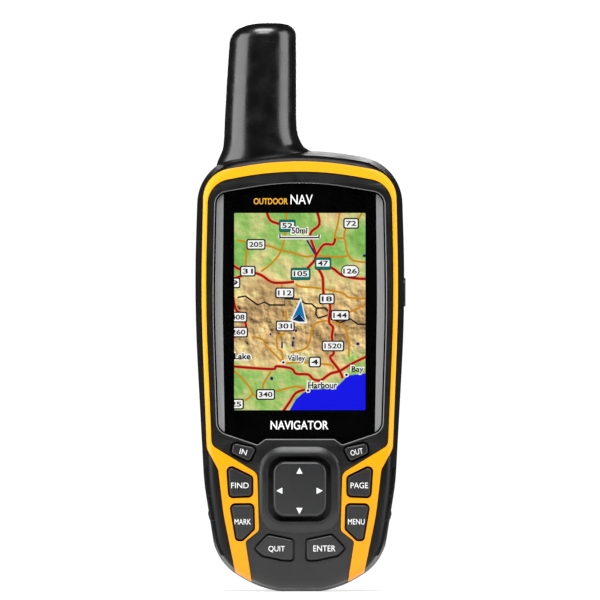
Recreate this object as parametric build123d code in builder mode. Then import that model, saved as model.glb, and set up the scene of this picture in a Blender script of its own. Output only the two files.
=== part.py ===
from build123d import *
import os
from math import atan2, cos, pi, radians, sin

# Handheld satellite-navigation receiver, millimetres.
# +Z runs up to the antenna tip, the screen faces -Y, +X is to the right of someone facing it.
# The origin is the middle of the small flat foot at the bottom.

# ---------------------------------------------------------------- driving dimensions
WAIST_Y = -3.0            # depth of the widest section
FRONT_Y = -15.6           # flat of the front face
BACK_Y = 15.2             # flat of the battery door
UPPER_BACK_Y = 13.2       # flat of the back above the door
SEAM_Y = -5.0             # joint between the front and rear halves
FRONT_DRAFT = 1.6         # how far the sides lean in from the waist to the front
FRONT_RIM_R = 2.2
BACK_RIM_R = 7.0
SKIN = 1.2                # depth of the pocket that holds the bezel and the yellow band
WALL = 2.4                # full housing wall
SEAL_SEAT = 3.05          # depth of the rebate the door's seal sits in
LEDGE = 3.9               # depth of the ledge under the battery door's edge
SEAL_INSET = (1.1, 1.8)   # outer and inner edge of the gasket in the seam
SEAL_HALF = 0.35          # half the gasket's thickness

# Right halves of the outlines seen from the front: (x, z, corner radius)
SILHOUETTE = [(5.7, 0, 8), (11.4, 1.0, 26), (23.3, 8.0, 14.5), (26.9, 30.5, 70), (29.7, 82, 420),
              (28.5, 120.1, 13.5), (0, 125.0, 90)]
BAND_OUTER = [(14.6, -12, 0), (21.4, 21.5, 60), (22.9, 34.2, 3), (26.15, 40.2, 4), (27.75, 82, 450),
              (27.0, 117.4, 8.5), (0, 122.1, 90)]
BAND_INNER = [(11.2, -12, 0), (15.3, 14.1, 1.2), (11.5, 17.1, 1.5), (11.95, 33.2, 2.5), (24.75, 41.0, 2.5),
              (26.5, 82, 450), (25.75, 114.6, 7), (0, 119.4, 90)]
BAND_BACK_Y = FRONT_Y + 2.0      # how deep the band reaches along the straight sides
LENS = [(9.7, 42.9, 0.8), (11.9, 41.3, 0.8), (23.1, 45.1, 3.5), (24.25, 80, 400), (23.6, 111.6, 3.5),
        (0, 115.6, 80)]
DOOR = [(11.5, 6.0, 3), (17.8, 15.0, 5), (17.8, 72.5, 4)]

# Side view of the housing: (y, z, corner radius)
CHIN_BEND_R = 150.0
CHIN_BEND_Z = 36.0
CHIN_Y = -11.6
CHIN_Z = -2.0
SIDE = [(CHIN_Y, CHIN_Z, 0), (FRONT_Y, CHIN_BEND_Z, CHIN_BEND_R), (FRONT_Y, 112, 60), (-14.2, 128, 0),
        (11.8, 128, 0), (UPPER_BACK_Y, 96, 80), (UPPER_BACK_Y, 84, 20), (BACK_Y, 74, 20), (BACK_Y, 10, 30),
        (9.0, -2, 0)]

# Three ridged pads a side, each swelling at its lower end: (x, z, radius) of the right side
GRIP_PADS = [
    [(20, 27.0, 0), (26.0, 27.0, 0.5), (26.7, 29.2, 1.5), (26.3, 31.5, 4), (26.6, 34.8, 0.4), (20, 36.2, 0)],
    [(19, 20.3, 0), (25.3, 20.0, 0.5), (25.8, 21.8, 1.2), (25.5, 23.5, 3), (26.0, 26.3, 0.4), (20, 26.6, 0)],
    [(12, 10.2, 0), (22.6, 10.0, 2.0), (24.0, 12.8, 2.0), (24.2, 15.0, 3), (25.0, 19.5, 0.4), (19, 19.9, 0)],
]
GRIP_Y = (-12.2, 9.5)
GRIP_DEPTH = 0.8

# Key openings on the left side, seen from the front; the right side mirrors them
KEY_OPENINGS = {
    "in": [(-19.1, 42.4, 1.5), (-19.8, 38.6, 1.5), (-13.9, 35.8, 1.5), (-11.4, 40.7, 1.5)],
    "find": [(-20.75, 36.2, 1.5), (-20.1, 26.1, 1.5), (-13.0, 26.4, 1.5), (-13.0, 32.4, 1.5)],
    "mark": [(-19.9, 24.8, 1.5), (-18.1, 14.1, 1.2), (-15.9, 14.1, 1.2), (-12.5, 17.4, 1.4),
             (-12.7, 24.9, 1.5)],
    "quit": [(-13.3, 12.1, 1.1), (-10.8, 9.7, 1.4), (-4.8, 8.4, 1.7), (-1.4, 8.3, 1.3), (-1.4, 14.9, 1.3),
             (-9.2, 16.5, 1.8)],
}
RIGHT_TWIN = {"in": "out", "find": "page", "mark": "menu", "quit": "enter"}
FLANGE_BACK = {"in": -12.2, "find": -11.3, "mark": -10.4, "quit": -9.85}
KEY_GAP = 0.55
KEY_PROUD = 0.7
KEY_EDGE_R = 0.5
KEY_FLANGE = 0.5          # how far the flange reaches past the opening
KEY_STEM_BACK = -9.8
FLANGE_CLEARANCE = 0.15

ROCKER_Z = 28.8
ROCKER_HOLE = (17.7, 18.4, 4.3)
ROCKER_FACE = (15.1, 15.6, 3.4)
ROCKER_PROUD = 1.1
MOUND_PROUD = 0.75        # height of the soft mound round the rocker
MOUND_RIM = 0.25          # flat left round the rocker's opening
MOUND_R = 4.0             # roundness of the mound's slope
ROCKER_CAP_BACK = -13.1
ROCKER_PIVOT_Y = -11.6
PIN_R = 0.6
PIN_CLEARANCE = 0.05
LUG_IN = 3.2
LUG_OUT = 4.4

MAT_Y = (-9.3, -8.9)      # front and back of the silicone mat
BOARD_Y = (-8.4, -7.4)
DOME_R = 2.0
# Chips on the back of the board: x, z, width and height
CHIPS = [(8, 62, 11, 11), (8, 80, 9, 7), (-12, 80, 8, 8), (-12, 34, 7, 9), (6, 28, 10, 6), (16, 48, 4, 4)]
CHIP_HEIGHT = 1.1

LENS_Y = (-15.1, -14.2)
MASK_BACK = -14.1
ADHESIVE_BACK = -14.0
LENS_GAP = 0.3
STRIP = [(21.0, 40, 0), (30, 40, 0), (30, 116, 0), (21.35, 116, 0), (21.7, 82, 400)]
STRIP_INSET = 0.35        # black line left between the grey strips and the window's edge
SCREEN_Z = 78.55
SCREEN_SIZE = (36.8, 55.3)
PANEL_SIZE = (41.5, 60.5)
PANEL_Y = (-13.1, -11.8)
BACKLIGHT_BACK = -10.8
FRAME_WALL = 0.7

CELL_R = 7.1
CELL_X = 7.4
CELL_Y = 5.0
CELL_Z = (17.0, 67.5)
CELL_NUB_R = 2.75
CELL_NUB = 1.3
BAY_X = 15.0
BAY_Z = (15.0, 69.0)
BAY_FLOOR_Y = -3.4
BAY_WALL = 1.2
CONTACT_THICK = 0.4
SPRING_WIRE_R = 0.25
CARD_Z = (43.0, 58.0)

LATCH_Z = 10.5
LATCH_HEAD_R = 3.9
LATCH_STEM_R = 1.6
LATCH_SEAT_Y = 12.9
STRIKE_Y = (7.8, 9.0)
LATCH_POCKET = (14.6, 6.8, 1.0)   # width, height and corner radius
STRIKE_POCKET_Y = 4.6
RING_Y = 16.4
RING_WIRE_R = 0.9
RING_WIDTH = 15.0
RING_HEIGHT = 13.0

SCREWS = [(24.2, 66.0), (23.0, 44.5), (18.2, 10.0), (21.5, 114.0)]
SCREW_SEAT_Y = 10.2
SCREW_TIP_Y = -10.5
SCREW_R = 0.95
SCREW_HEAD_R = 1.8
BOSS_R = 2.1
POST_PLACES = [(-10.2, 45.2), (10.2, 45.2), (-14.0, 113.5), (14.0, 113.5)]
POST_R = 1.6

ANTENNA_X = -11.2
ANTENNA_Y = 1.5
ANTENNA_HOLE_R = 6.05
ANTENNA_FOOT_Z = 119.2     # underside of the cover's skirt
ANTENNA_FOOT = (-11.78, 110.0, 11.02)   # x, z and radius where the taper starts
ANTENNA_LENGTH = 55.0
ANTENNA_TIP_R = 9.04
ANTENNA_LEAN = 1.4
ANTENNA_TOP = (-10.7, 159.7)            # x and z of the middle of the top
ANTENNA_TOP_TILT = 2.6
ANTENNA_TOP_R = 4.2
ANTENNA_WALL = 1.6
HELIX_R = 5.3
HELIX_Z = (121.0, 152.0)

PORT_Z = 97.0
USB_X = -15.2
MCX_X = 15.0
MCX_BORE_R = 1.75
MCX_BORE_LENGTH = 4.0
PORT_MOUTH_Y = 10.6
PORT_BOARD_Y = (1.6, 2.6)
CAP_WIDTH = 12.0
CAP_Z = (91.6, 102.6)
CAP_Y = (11.4, 13.5)
CAP_HINGE = (12.6, 92.4)  # y and z of the hinge line
CAP_BARREL_R = 0.8

POWER_Y = -1.0
POWER_Z = 84.0
POWER_SIZE = (4.6, 8.1)   # along Y and Z
POWER_PROUD = 0.33
POWER_GAP = 0.2

SPINE_Z = (75.5, 112.0)
SPINE_TOP_Y = 18.6

os.makedirs("parts", exist_ok=True)


# ---------------------------------------------------------------- helpers
def facing(y):
    """Drawing plane at depth y, seen from the front: local x is X, local y is Z."""
    return Plane((0, y, 0), x_dir=(1, 0, 0), z_dir=(0, -1, 0))


def mirrored(half):
    """Whole outline from its right half."""
    return half + [(-x, z, r) for x, z, r in reversed(half) if x > 0]


def flipped(corners):
    """The same outline on the other side of the middle plane."""
    return [(-x, z, r) for x, z, r in reversed(corners)]


def rounded(x, z, width, height, radius):
    """Corner list of a rounded rectangle."""
    w, h = width / 2, height / 2
    return [(x - w, z - h, radius), (x + w, z - h, radius), (x + w, z + h, radius), (x - w, z + h, radius)]


def moved_in(corners, d):
    """Corner list moved inwards by d, every radius following."""
    area = sum(a[0] * b[1] - b[0] * a[1] for a, b in zip(corners, corners[1:] + corners[:1]))
    side = 1 if area > 0 else -1
    result = []
    for i, (x, y, r) in enumerate(corners):
        before = corners[i - 1]
        after = corners[(i + 1) % len(corners)]
        heading = atan2(y - before[1], x - before[0])
        turn = (atan2(after[1] - y, after[0] - x) - heading + 3 * pi) % (2 * pi) - pi
        inward = heading + turn / 2 + side * pi / 2
        reach = d / cos(turn / 2)
        radius = max(0, r - d if turn * side > 0 else r + d) if r else 0
        result.append((x + reach * cos(inward), y + reach * sin(inward), radius))
    return result


def outline(corners, inset=0.0):
    """Filled outline with rounded corners."""
    points = moved_in(corners, inset)
    with BuildSketch() as flat:
        with BuildLine():
            FilletPolyline(*[(x, y) for x, y, r in points], radius=[r for x, y, r in points], close=True)
        make_face()
    return flat.sketch


def slab(corners, back, front, inset=0.0):
    """Outline seen from the front, standing from depth back forward to depth front."""
    with BuildPart() as solid:
        with BuildSketch(facing(back)):
            add(outline(corners, inset))
        extrude(amount=back - front)
    return solid.part


def span(low, high, mode=Mode.ADD):
    """Box between two corners."""
    size = [b - a for a, b in zip(low, high)]
    with Locations([((low[0] + high[0]) / 2, (low[1] + high[1]) / 2, (low[2] + high[2]) / 2)]):
        Box(*size, mode=mode)


def rod(x, z, radius, back, front, mode=Mode.ADD):
    """Round rod along Y between two depths."""
    with Locations((x, (back + front) / 2, z)):
        Cylinder(radius, back - front, rotation=(90, 0, 0), mode=mode)


def is_rim(edge):
    """True for the edges round the front and back faces, not the folds across them."""
    fold = edge.geom_type == GeomType.LINE and edge.length > 20 and abs(edge.tangent_at(0).X) > 0.99
    return not fold and abs(edge.tangent_at(0.5).Y) < 0.6


def hull(inset, front_r, back_r):
    """Housing form moved inwards by inset: drafted front, straight back, rounded rims."""
    ends = mirrored(SILHOUETTE)
    spare = 2.0
    lean = FRONT_DRAFT * (WAIST_Y - FRONT_Y + spare) / (WAIST_Y - FRONT_Y)
    with BuildPart() as body:
        with BuildSketch(facing(WAIST_Y)):
            add(outline(ends, inset))
        with BuildSketch(facing(FRONT_Y - spare)):
            add(outline(ends, inset + lean))
        loft(ruled=True)
        with BuildSketch(facing(BACK_Y + spare)):
            add(outline(ends, inset))
        extrude(amount=BACK_Y + spare - WAIST_Y)
        with BuildSketch(Plane.YZ):
            add(outline(SIDE, inset))
        extrude(amount=40, both=True, mode=Mode.INTERSECT)
        rims = body.edges().filter_by(is_rim)
        fillet(rims.filter_by(lambda e: e.center().Y > 5), back_r)
        if front_r:
            rims = body.edges().filter_by(is_rim)
            fillet(rims.filter_by(lambda e: e.center().Y < -9), front_r)
    return body.part


def front_face_y(z):
    """Depth of the housing's front face at height z, below the screen's top."""
    slope = atan2(CHIN_Y - FRONT_Y, CHIN_BEND_Z - CHIN_Z)
    bend_top = CHIN_BEND_Z + CHIN_BEND_R * sin(slope) / 2
    if z > bend_top:
        return FRONT_Y
    if z > bend_top - CHIN_BEND_R * sin(slope):
        return FRONT_Y + (bend_top - z) ** 2 / (2 * CHIN_BEND_R)
    return CHIN_Y + (FRONT_Y - CHIN_Y) * (z - CHIN_Z) / (CHIN_BEND_Z - CHIN_Z)


def skin_plane(z, depth):
    """Plane along the front face at height z, depth below it, facing out."""
    step = 0.5
    lean = atan2(front_face_y(z - step) - front_face_y(z + step), 2 * step)
    return Plane((0, front_face_y(z) + depth, z), x_dir=(1, 0, 0), z_dir=(0, -cos(lean), -sin(lean)))


def write(piece, name):
    piece.part.label = name
    export_step(piece.part, "parts/" + name + ".step")


silhouette = mirrored(SILHOUETTE)
band_outer = mirrored(BAND_OUTER)
band_inner = mirrored(BAND_INNER)
lens_outline = mirrored(LENS)
door_outline = mirrored(DOOR)
openings = {}
for left_name, left_corners in KEY_OPENINGS.items():
    openings[left_name] = (left_corners, FLANGE_BACK[left_name])
    openings[RIGHT_TWIN[left_name]] = (flipped(left_corners), FLANGE_BACK[left_name])
screw_places = [(side * x, z) for x, z in SCREWS for side in (-1, 1)]

outer_form = hull(0, FRONT_RIM_R, BACK_RIM_R)
band_form = hull(-0.35, FRONT_RIM_R + 0.35, BACK_RIM_R)
grip_form = hull(-0.6, FRONT_RIM_R + 0.6, BACK_RIM_R)
pocket_form = hull(SKIN, 1.0, BACK_RIM_R - SKIN)
cavity_form = hull(WALL, 0, BACK_RIM_R - WALL)
seat_form = hull(SEAL_SEAT, 0, BACK_RIM_R - SEAL_SEAT)
ledge_form = hull(LEDGE, 0, BACK_RIM_R - LEDGE)

# ---------------------------------------------------------------- side grips
def grip(side):
    """Ridged rubber pads on one side, standing in a shallow pocket of the housing."""
    with BuildPart() as pads:
        for corners in GRIP_PADS:
            shape = corners if side > 0 else flipped(corners)
            add(slab(shape, GRIP_Y[1], GRIP_Y[0]))
        add(slab(rounded(side * 25, 23, 14, 23, 1), GRIP_Y[1] - 0.5, GRIP_Y[0] + 0.5) & outer_form)
        add(grip_form, mode=Mode.INTERSECT)
        add(hull_core, mode=Mode.SUBTRACT)
        add(slab(band_outer, SEAM_Y, FRONT_Y - 5, -0.4), mode=Mode.SUBTRACT)
    return pads.part


hull_core = hull(GRIP_DEPTH, FRONT_RIM_R - GRIP_DEPTH, BACK_RIM_R - GRIP_DEPTH)
grip_right = grip(1)
grip_left = grip(-1)

with BuildPart() as right_grip:
    add(grip_right)
write(right_grip, "right_grip")

with BuildPart() as left_grip:
    add(grip_left)
write(left_grip, "left_grip")

# ---------------------------------------------------------------- housing seal in the seam
with BuildPart() as case_seal:
    add(slab(silhouette, SEAM_Y + SEAL_HALF, SEAM_Y - SEAL_HALF, SEAL_INSET[0]))
    add(slab(silhouette, SEAM_Y + SEAL_HALF, SEAM_Y - SEAL_HALF, SEAL_INSET[1]), mode=Mode.SUBTRACT)
write(case_seal, "case_seal")

# ---------------------------------------------------------------- yellow band
with BuildPart() as yellow_trim:
    add(slab(band_outer, -8.0, FRONT_Y - 5, 0.05))
    add(slab(band_inner, -8.0, FRONT_Y - 6), mode=Mode.SUBTRACT)
    add(band_form, mode=Mode.INTERSECT)
    add(pocket_form, mode=Mode.SUBTRACT)
    span((-40, BAND_BACK_Y, 45), (40, -7, 105), mode=Mode.SUBTRACT)
    for name in ("find", "mark", "page", "menu"):
        add(slab(openings[name][0], -8.0, FRONT_Y - 5), mode=Mode.SUBTRACT)
write(yellow_trim, "yellow_trim")

# ---------------------------------------------------------------- dark plate inside the band
mound_size = [size + 2 * (MOUND_RIM + MOUND_R) for size in ROCKER_HOLE[:2]]
with BuildPart() as mound:
    with BuildSketch(skin_plane(ROCKER_Z, MOUND_R + 1)):
        RectangleRounded(*mound_size, ROCKER_HOLE[2] + MOUND_RIM + MOUND_R)
    extrude(amount=MOUND_R + 1 + MOUND_PROUD)
    fillet(mound.faces().sort_by(Axis.Y)[0].edges(), MOUND_R)

with BuildPart() as front_bezel:
    add(outer_form)
    add(mound.part)
    add(slab(band_inner, -8.0, FRONT_Y - 5, 0.06), mode=Mode.INTERSECT)
    add(pocket_form, mode=Mode.SUBTRACT)
    add(slab(lens_outline, -6.0, FRONT_Y - 5, -LENS_GAP), mode=Mode.SUBTRACT)
    add(slab(rounded(0, ROCKER_Z, *ROCKER_HOLE), -6.0, FRONT_Y - 5), mode=Mode.SUBTRACT)
    for name in ("in", "quit", "out", "enter"):
        add(slab(openings[name][0], -6.0, FRONT_Y - 5), mode=Mode.SUBTRACT)
write(front_bezel, "front_bezel")

# ---------------------------------------------------------------- front half of the housing
with BuildPart() as front_pillars:
    with BuildSketch(facing(SEAM_Y)):
        with Locations(screw_places):
            Circle(BOSS_R)
    extrude(amount=SEAM_Y - FRONT_Y)
    with BuildSketch(facing(BOARD_Y[0])):
        with Locations(POST_PLACES):
            Circle(POST_R)
    extrude(amount=BOARD_Y[0] - FRONT_Y)
    add(pocket_form, mode=Mode.INTERSECT)

with BuildPart() as front_case:
    add(outer_form)
    span((-40, -30, -10), (40, SEAM_Y, 140), mode=Mode.INTERSECT)
    add(cavity_form, mode=Mode.SUBTRACT)
    add(slab(band_outer, -8.0, FRONT_Y - 5) - pocket_form, mode=Mode.SUBTRACT)
    add(front_pillars.part)
    add(slab(lens_outline, ADHESIVE_BACK, FRONT_Y - 5, -LENS_GAP), mode=Mode.SUBTRACT)
    add(slab(rounded(0, SCREEN_Z, SCREEN_SIZE[0] + 1, SCREEN_SIZE[1] + 1, 0.5), -8, FRONT_Y - 5),
        mode=Mode.SUBTRACT)
    add(slab(rounded(0, ROCKER_Z, *ROCKER_HOLE), -8, FRONT_Y - 5), mode=Mode.SUBTRACT)
    for corners, flange_back in openings.values():
        add(slab(corners, -8, FRONT_Y - 5), mode=Mode.SUBTRACT)
    with BuildSketch(facing(SEAM_Y)):
        with Locations(screw_places):
            Circle(SCREW_R + 0.05)
    extrude(amount=SEAM_Y - SCREW_TIP_Y + 0.5, mode=Mode.SUBTRACT)
    with BuildSketch(facing(BOARD_Y[0])):
        with Locations(POST_PLACES):
            Circle(0.75)
    extrude(amount=3.4, mode=Mode.SUBTRACT)
    add(grip_right, mode=Mode.SUBTRACT)
    add(grip_left, mode=Mode.SUBTRACT)
    add(case_seal.part, mode=Mode.SUBTRACT)
write(front_case, "front_case")

# ---------------------------------------------------------------- rear half of the housing
bay_opening = rounded(0, (BAY_Z[0] + BAY_Z[1]) / 2, 2 * BAY_X, BAY_Z[1] - BAY_Z[0], 1.0)
latch_pocket = rounded(0, LATCH_Z, *LATCH_POCKET)

with BuildPart() as battery_tray:
    add(slab(bay_opening, BACK_Y, BAY_FLOOR_Y - BAY_WALL, -BAY_WALL))
    add(slab(latch_pocket, BACK_Y, STRIKE_POCKET_Y - BAY_WALL, -BAY_WALL))
    add(slab(door_outline, BACK_Y, 8.0, -1.0) & (outer_form - ledge_form))
    with BuildSketch(facing(BACK_Y)):
        with Locations(screw_places):
            Circle(BOSS_R)
    extrude(amount=BACK_Y - SEAM_Y)
    for x in (USB_X, MCX_X):
        span((x - 7.4, 9.2, 90.2), (x + 7.4, 12.5, 104.0))
    add(pocket_form, mode=Mode.INTERSECT)

with BuildPart() as tray_cuts:
    add(slab(bay_opening, BACK_Y + 5, BAY_FLOOR_Y))
    add(slab(latch_pocket, BACK_Y + 5, STRIKE_POCKET_Y))
    add(slab(door_outline, BACK_Y + 5, 6.0) & (slab(silhouette, BACK_Y + 6, 0, -3) - cavity_form))
    add(slab(door_outline, BACK_Y + 5, 5.0, 0.8) & (cavity_form - seat_form))

with BuildPart() as strike:
    span((-8, STRIKE_Y[0], 6.4), (8, STRIKE_Y[1], 14.2))
    with BuildSketch(facing(STRIKE_Y[1])):
        with Locations((0, LATCH_Z)):
            SlotOverall(7.4, 2.6, rotation=90)
            Circle(LATCH_STEM_R + 0.15)
    extrude(amount=STRIKE_Y[1] - STRIKE_Y[0], mode=Mode.SUBTRACT)


def cap_recess(x):
    """Recess for a port cap, with a round-bottomed trough along its hinge line."""
    with BuildPart() as recess:
        span((x - CAP_WIDTH / 2 - 0.2, CAP_Y[0], CAP_HINGE[1]), (x + CAP_WIDTH / 2 + 0.2, 20, CAP_Z[1] + 0.2))
        with BuildSketch(Plane.YZ.offset(x)):
            with Locations(CAP_HINGE):
                Circle(CAP_BARREL_R + 0.45)
            with Locations((CAP_HINGE[0] + 3, CAP_HINGE[1])):
                Rectangle(6, 2 * CAP_BARREL_R + 0.9)
        extrude(amount=CAP_WIDTH / 2 + 0.2, both=True)
    return recess.part


with BuildPart() as rear_case:
    add(outer_form)
    span((-40, SEAM_Y, -10), (40, 30, 140), mode=Mode.INTERSECT)
    add(cavity_form, mode=Mode.SUBTRACT)
    add(battery_tray.part)
    add(tray_cuts.part, mode=Mode.SUBTRACT)
    add(strike.part)
    for x in (USB_X, MCX_X):
        add(cap_recess(x), mode=Mode.SUBTRACT)
    span((USB_X - 4.5, 5, PORT_Z - 2.8), (USB_X + 4.5, 14, PORT_Z + 2.8), mode=Mode.SUBTRACT)
    rod(MCX_X, PORT_Z, 3.0, 14, 5, mode=Mode.SUBTRACT)
    with BuildSketch(facing(30)):
        with Locations(screw_places):
            Circle(SCREW_HEAD_R + 0.15)
    extrude(amount=30 - SCREW_SEAT_Y, mode=Mode.SUBTRACT)
    with BuildSketch(facing(SCREW_SEAT_Y)):
        with Locations(screw_places):
            Circle(SCREW_R + 0.15)
    extrude(amount=SCREW_SEAT_Y - SEAM_Y + 1, mode=Mode.SUBTRACT)
    with BuildSketch(Plane.XY.offset(110)):
        with Locations((ANTENNA_X, ANTENNA_Y)):
            Circle(ANTENNA_HOLE_R)
    extrude(amount=20, mode=Mode.SUBTRACT)
    span((20, POWER_Y - 2.5, POWER_Z - 4.25), (40, POWER_Y + 2.5, POWER_Z + 4.25), mode=Mode.SUBTRACT)
    span((28.9, POWER_Y - 4.0, 79.0), (40, POWER_Y + 4.0, 89.6), mode=Mode.SUBTRACT)
    add(grip_right, mode=Mode.SUBTRACT)
    add(grip_left, mode=Mode.SUBTRACT)
    add(case_seal.part, mode=Mode.SUBTRACT)
write(rear_case, "rear_case")

# ---------------------------------------------------------------- housing screws
with BuildPart() as case_screws:
    with BuildSketch(facing(SCREW_SEAT_Y)):
        with Locations(screw_places):
            Circle(SCREW_R)
    extrude(amount=SCREW_SEAT_Y - SCREW_TIP_Y)
    with BuildSketch(facing(SCREW_SEAT_Y + 1.3)):
        with Locations(screw_places):
            Circle(SCREW_HEAD_R)
    extrude(amount=1.3)
    with BuildSketch(facing(SCREW_SEAT_Y + 1.3)):
        with Locations(screw_places):
            RegularPolygon(0.9, 6)
    extrude(amount=0.8, mode=Mode.SUBTRACT)
write(case_screws, "case_screws")

# ---------------------------------------------------------------- battery door, latch and ring
with BuildPart() as battery_door:
    add(slab(door_outline, BACK_Y + 5, 6.0, 0.15) & (outer_form - cavity_form))
    rod(0, LATCH_Z, LATCH_HEAD_R + 0.15, 20, LATCH_SEAT_Y, mode=Mode.SUBTRACT)
    rod(0, LATCH_Z, LATCH_STEM_R + 0.07, 20, 5, mode=Mode.SUBTRACT)
write(battery_door, "battery_door")

with BuildPart() as rear_label:
    add(slab(rounded(0, 42, 22, 26, 1), BACK_Y - WALL, BACK_Y - WALL - 0.1))
write(rear_label, "rear_label")

with BuildPart() as door_seal:
    add(slab(door_outline, BACK_Y, 6.0, 0.9) - slab(door_outline, BACK_Y + 1, 5.0, 2.0))
    add(cavity_form, mode=Mode.INTERSECT)
    add(seat_form, mode=Mode.SUBTRACT)
write(door_seal, "door_seal")

with BuildPart() as latch_spindle:
    rod(0, LATCH_Z, LATCH_HEAD_R, LATCH_SEAT_Y + 1.5, LATCH_SEAT_Y + 0.05)
    rod(0, LATCH_Z, LATCH_STEM_R, LATCH_SEAT_Y + 0.1, STRIKE_Y[0] - 1.6)
    span((-1.0, STRIKE_Y[0] - 1.6, LATCH_Z - 3.1), (1.0, STRIKE_Y[0] - 0.2, LATCH_Z + 3.1))
    span((-2.4, LATCH_SEAT_Y + 1.4, LATCH_Z - 1.6), (2.4, RING_Y + 1.4, LATCH_Z + 1.6))
    fillet(latch_spindle.edges().filter_by(Axis.X).sort_by(Axis.Y)[-2:], 1.0)
    with BuildSketch(Plane.YZ):
        with Locations((RING_Y, LATCH_Z)):
            Circle(RING_WIRE_R + PIN_CLEARANCE)
    extrude(amount=5, both=True, mode=Mode.SUBTRACT)
write(latch_spindle, "latch_spindle")

with BuildPart() as d_ring:
    half = RING_WIDTH / 2
    with BuildLine(facing(RING_Y)) as loop:
        FilletPolyline((-half, LATCH_Z), (half, LATCH_Z), (half, LATCH_Z + RING_HEIGHT),
                       (-half, LATCH_Z + RING_HEIGHT), radius=[2.2, 2.2, 5.0, 5.0], close=True)
    with BuildSketch(Plane.YZ):
        with Locations((RING_Y, LATCH_Z)):
            Circle(RING_WIRE_R)
    sweep(path=loop.wires()[0])
write(d_ring, "d_ring")

# ---------------------------------------------------------------- port caps and ports
def port_cap(x, plug_width, plug_height):
    """Flap with a barrel along its lower edge and a shallow plug behind it."""
    with BuildPart() as cap:
        span((x - CAP_WIDTH / 2, CAP_Y[0], CAP_HINGE[1]), (x + CAP_WIDTH / 2, CAP_Y[1], CAP_Z[1]))
        fillet(cap.edges().filter_by(Axis.Y).group_by(Axis.Z)[-1], 1.5)
        fillet(cap.faces().sort_by(Axis.Y)[-1].edges().sort_by(Axis.Z)[1:], 0.4)
        with BuildSketch(Plane.YZ.offset(x)):
            with Locations(CAP_HINGE):
                Circle(CAP_BARREL_R + 0.1)
        extrude(amount=CAP_WIDTH / 2, both=True)
        span((x - plug_width / 2, CAP_Y[0] - 0.5, PORT_Z - plug_height / 2),
             (x + plug_width / 2, CAP_Y[0], PORT_Z + plug_height / 2))
    return cap.part


with BuildPart() as usb_cap:
    add(port_cap(USB_X, 7.0, 3.0))
write(usb_cap, "usb_cap")

with BuildPart() as antenna_port_cap:
    add(port_cap(MCX_X, 3.2, 3.2))
write(antenna_port_cap, "antenna_port_cap")

with BuildPart() as usb_socket:
    span((USB_X - 4.2, PORT_BOARD_Y[1], PORT_Z - 2.4), (USB_X + 4.2, PORT_MOUTH_Y, PORT_Z + 2.4))
    fillet(usb_socket.edges().filter_by(Axis.Y), 0.8)
    span((USB_X - 3.6, PORT_BOARD_Y[1] + 1, PORT_Z - 1.8), (USB_X + 3.6, PORT_MOUTH_Y, PORT_Z + 1.8),
         mode=Mode.SUBTRACT)
    span((USB_X - 2.6, PORT_BOARD_Y[1] + 1, PORT_Z - 0.4), (USB_X + 2.6, PORT_MOUTH_Y - 1, PORT_Z + 0.4))
write(usb_socket, "usb_socket")

with BuildPart() as mcx_socket:
    rod(MCX_X, PORT_Z, 2.6, PORT_MOUTH_Y, PORT_BOARD_Y[1])
    rod(MCX_X, PORT_Z, MCX_BORE_R, PORT_MOUTH_Y, PORT_MOUTH_Y - MCX_BORE_LENGTH, mode=Mode.SUBTRACT)
    rod(MCX_X, PORT_Z, 1.2, PORT_MOUTH_Y - MCX_BORE_LENGTH, PORT_BOARD_Y[1] + 1, mode=Mode.SUBTRACT)
    rod(MCX_X, PORT_Z, 0.5, PORT_MOUTH_Y - MCX_BORE_LENGTH - 0.2, PORT_BOARD_Y[1] + 0.5)
write(mcx_socket, "mcx_socket")

with BuildPart() as port_board:
    add(slab(rounded(0, 96, 43, 18, 1.5), PORT_BOARD_Y[1], PORT_BOARD_Y[0]))
write(port_board, "port_board")

with BuildPart() as board_header:
    span((-8, BOARD_Y[1], 88.5), (8, PORT_BOARD_Y[0], 92.5))
write(board_header, "board_header")

# ---------------------------------------------------------------- mounting rail on the back
with BuildPart() as mounting_spine:
    with BuildSketch(Plane.XY.offset(SPINE_Z[0])):
        with Locations((0, 13.6)):
            Rectangle(9, 4.4)
        with Locations((0, 17.1)):
            Rectangle(13, 3.0)
    extrude(amount=SPINE_Z[1] - SPINE_Z[0])
    fillet(mounting_spine.edges().filter_by(Axis.Z).group_by(Axis.Y)[-1], 0.8)
    with BuildSketch(Plane.YZ):
        with BuildLine():
            Polyline((10, SPINE_Z[0]), (17.6, SPINE_Z[0]), (SPINE_TOP_Y, SPINE_Z[0] + 1), (SPINE_TOP_Y, 108),
                     (16.0, SPINE_Z[1]), (10, SPINE_Z[1]), close=True)
        make_face()
    extrude(amount=10, both=True, mode=Mode.INTERSECT)
    span((-3.2, 17.4, 84), (3.2, 20, 90), mode=Mode.SUBTRACT)
    add(outer_form, mode=Mode.SUBTRACT)
write(mounting_spine, "mounting_spine")

# ---------------------------------------------------------------- antenna
def antenna_form(shrink):
    """Tapered round antenna body, leaning slightly, with a rounded top that dips to the left."""
    x, z, foot_r = ANTENNA_FOOT
    top_x, top_z = ANTENNA_TOP
    lean = radians(ANTENNA_LEAN)
    tilt = radians(ANTENNA_TOP_TILT)
    axis_plane = Plane((x, ANTENNA_Y, z), x_dir=(cos(lean), 0, -sin(lean)), z_dir=(sin(lean), 0, cos(lean)))
    top_cut = Plane((top_x, ANTENNA_Y, top_z - shrink), x_dir=(1, 0, 0), z_dir=(-sin(tilt), 0, cos(tilt)))
    with BuildPart() as body:
        with Locations(axis_plane.location):
            Cone(foot_r - shrink, ANTENNA_TIP_R - shrink, ANTENNA_LENGTH,
                 align=(Align.CENTER, Align.CENTER, Align.MIN))
        split(bisect_by=top_cut, keep=Keep.BOTTOM)
        fillet(body.faces().sort_by(Axis.Z)[-1].edges(), ANTENNA_TOP_R - shrink)
    return body.part


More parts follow.
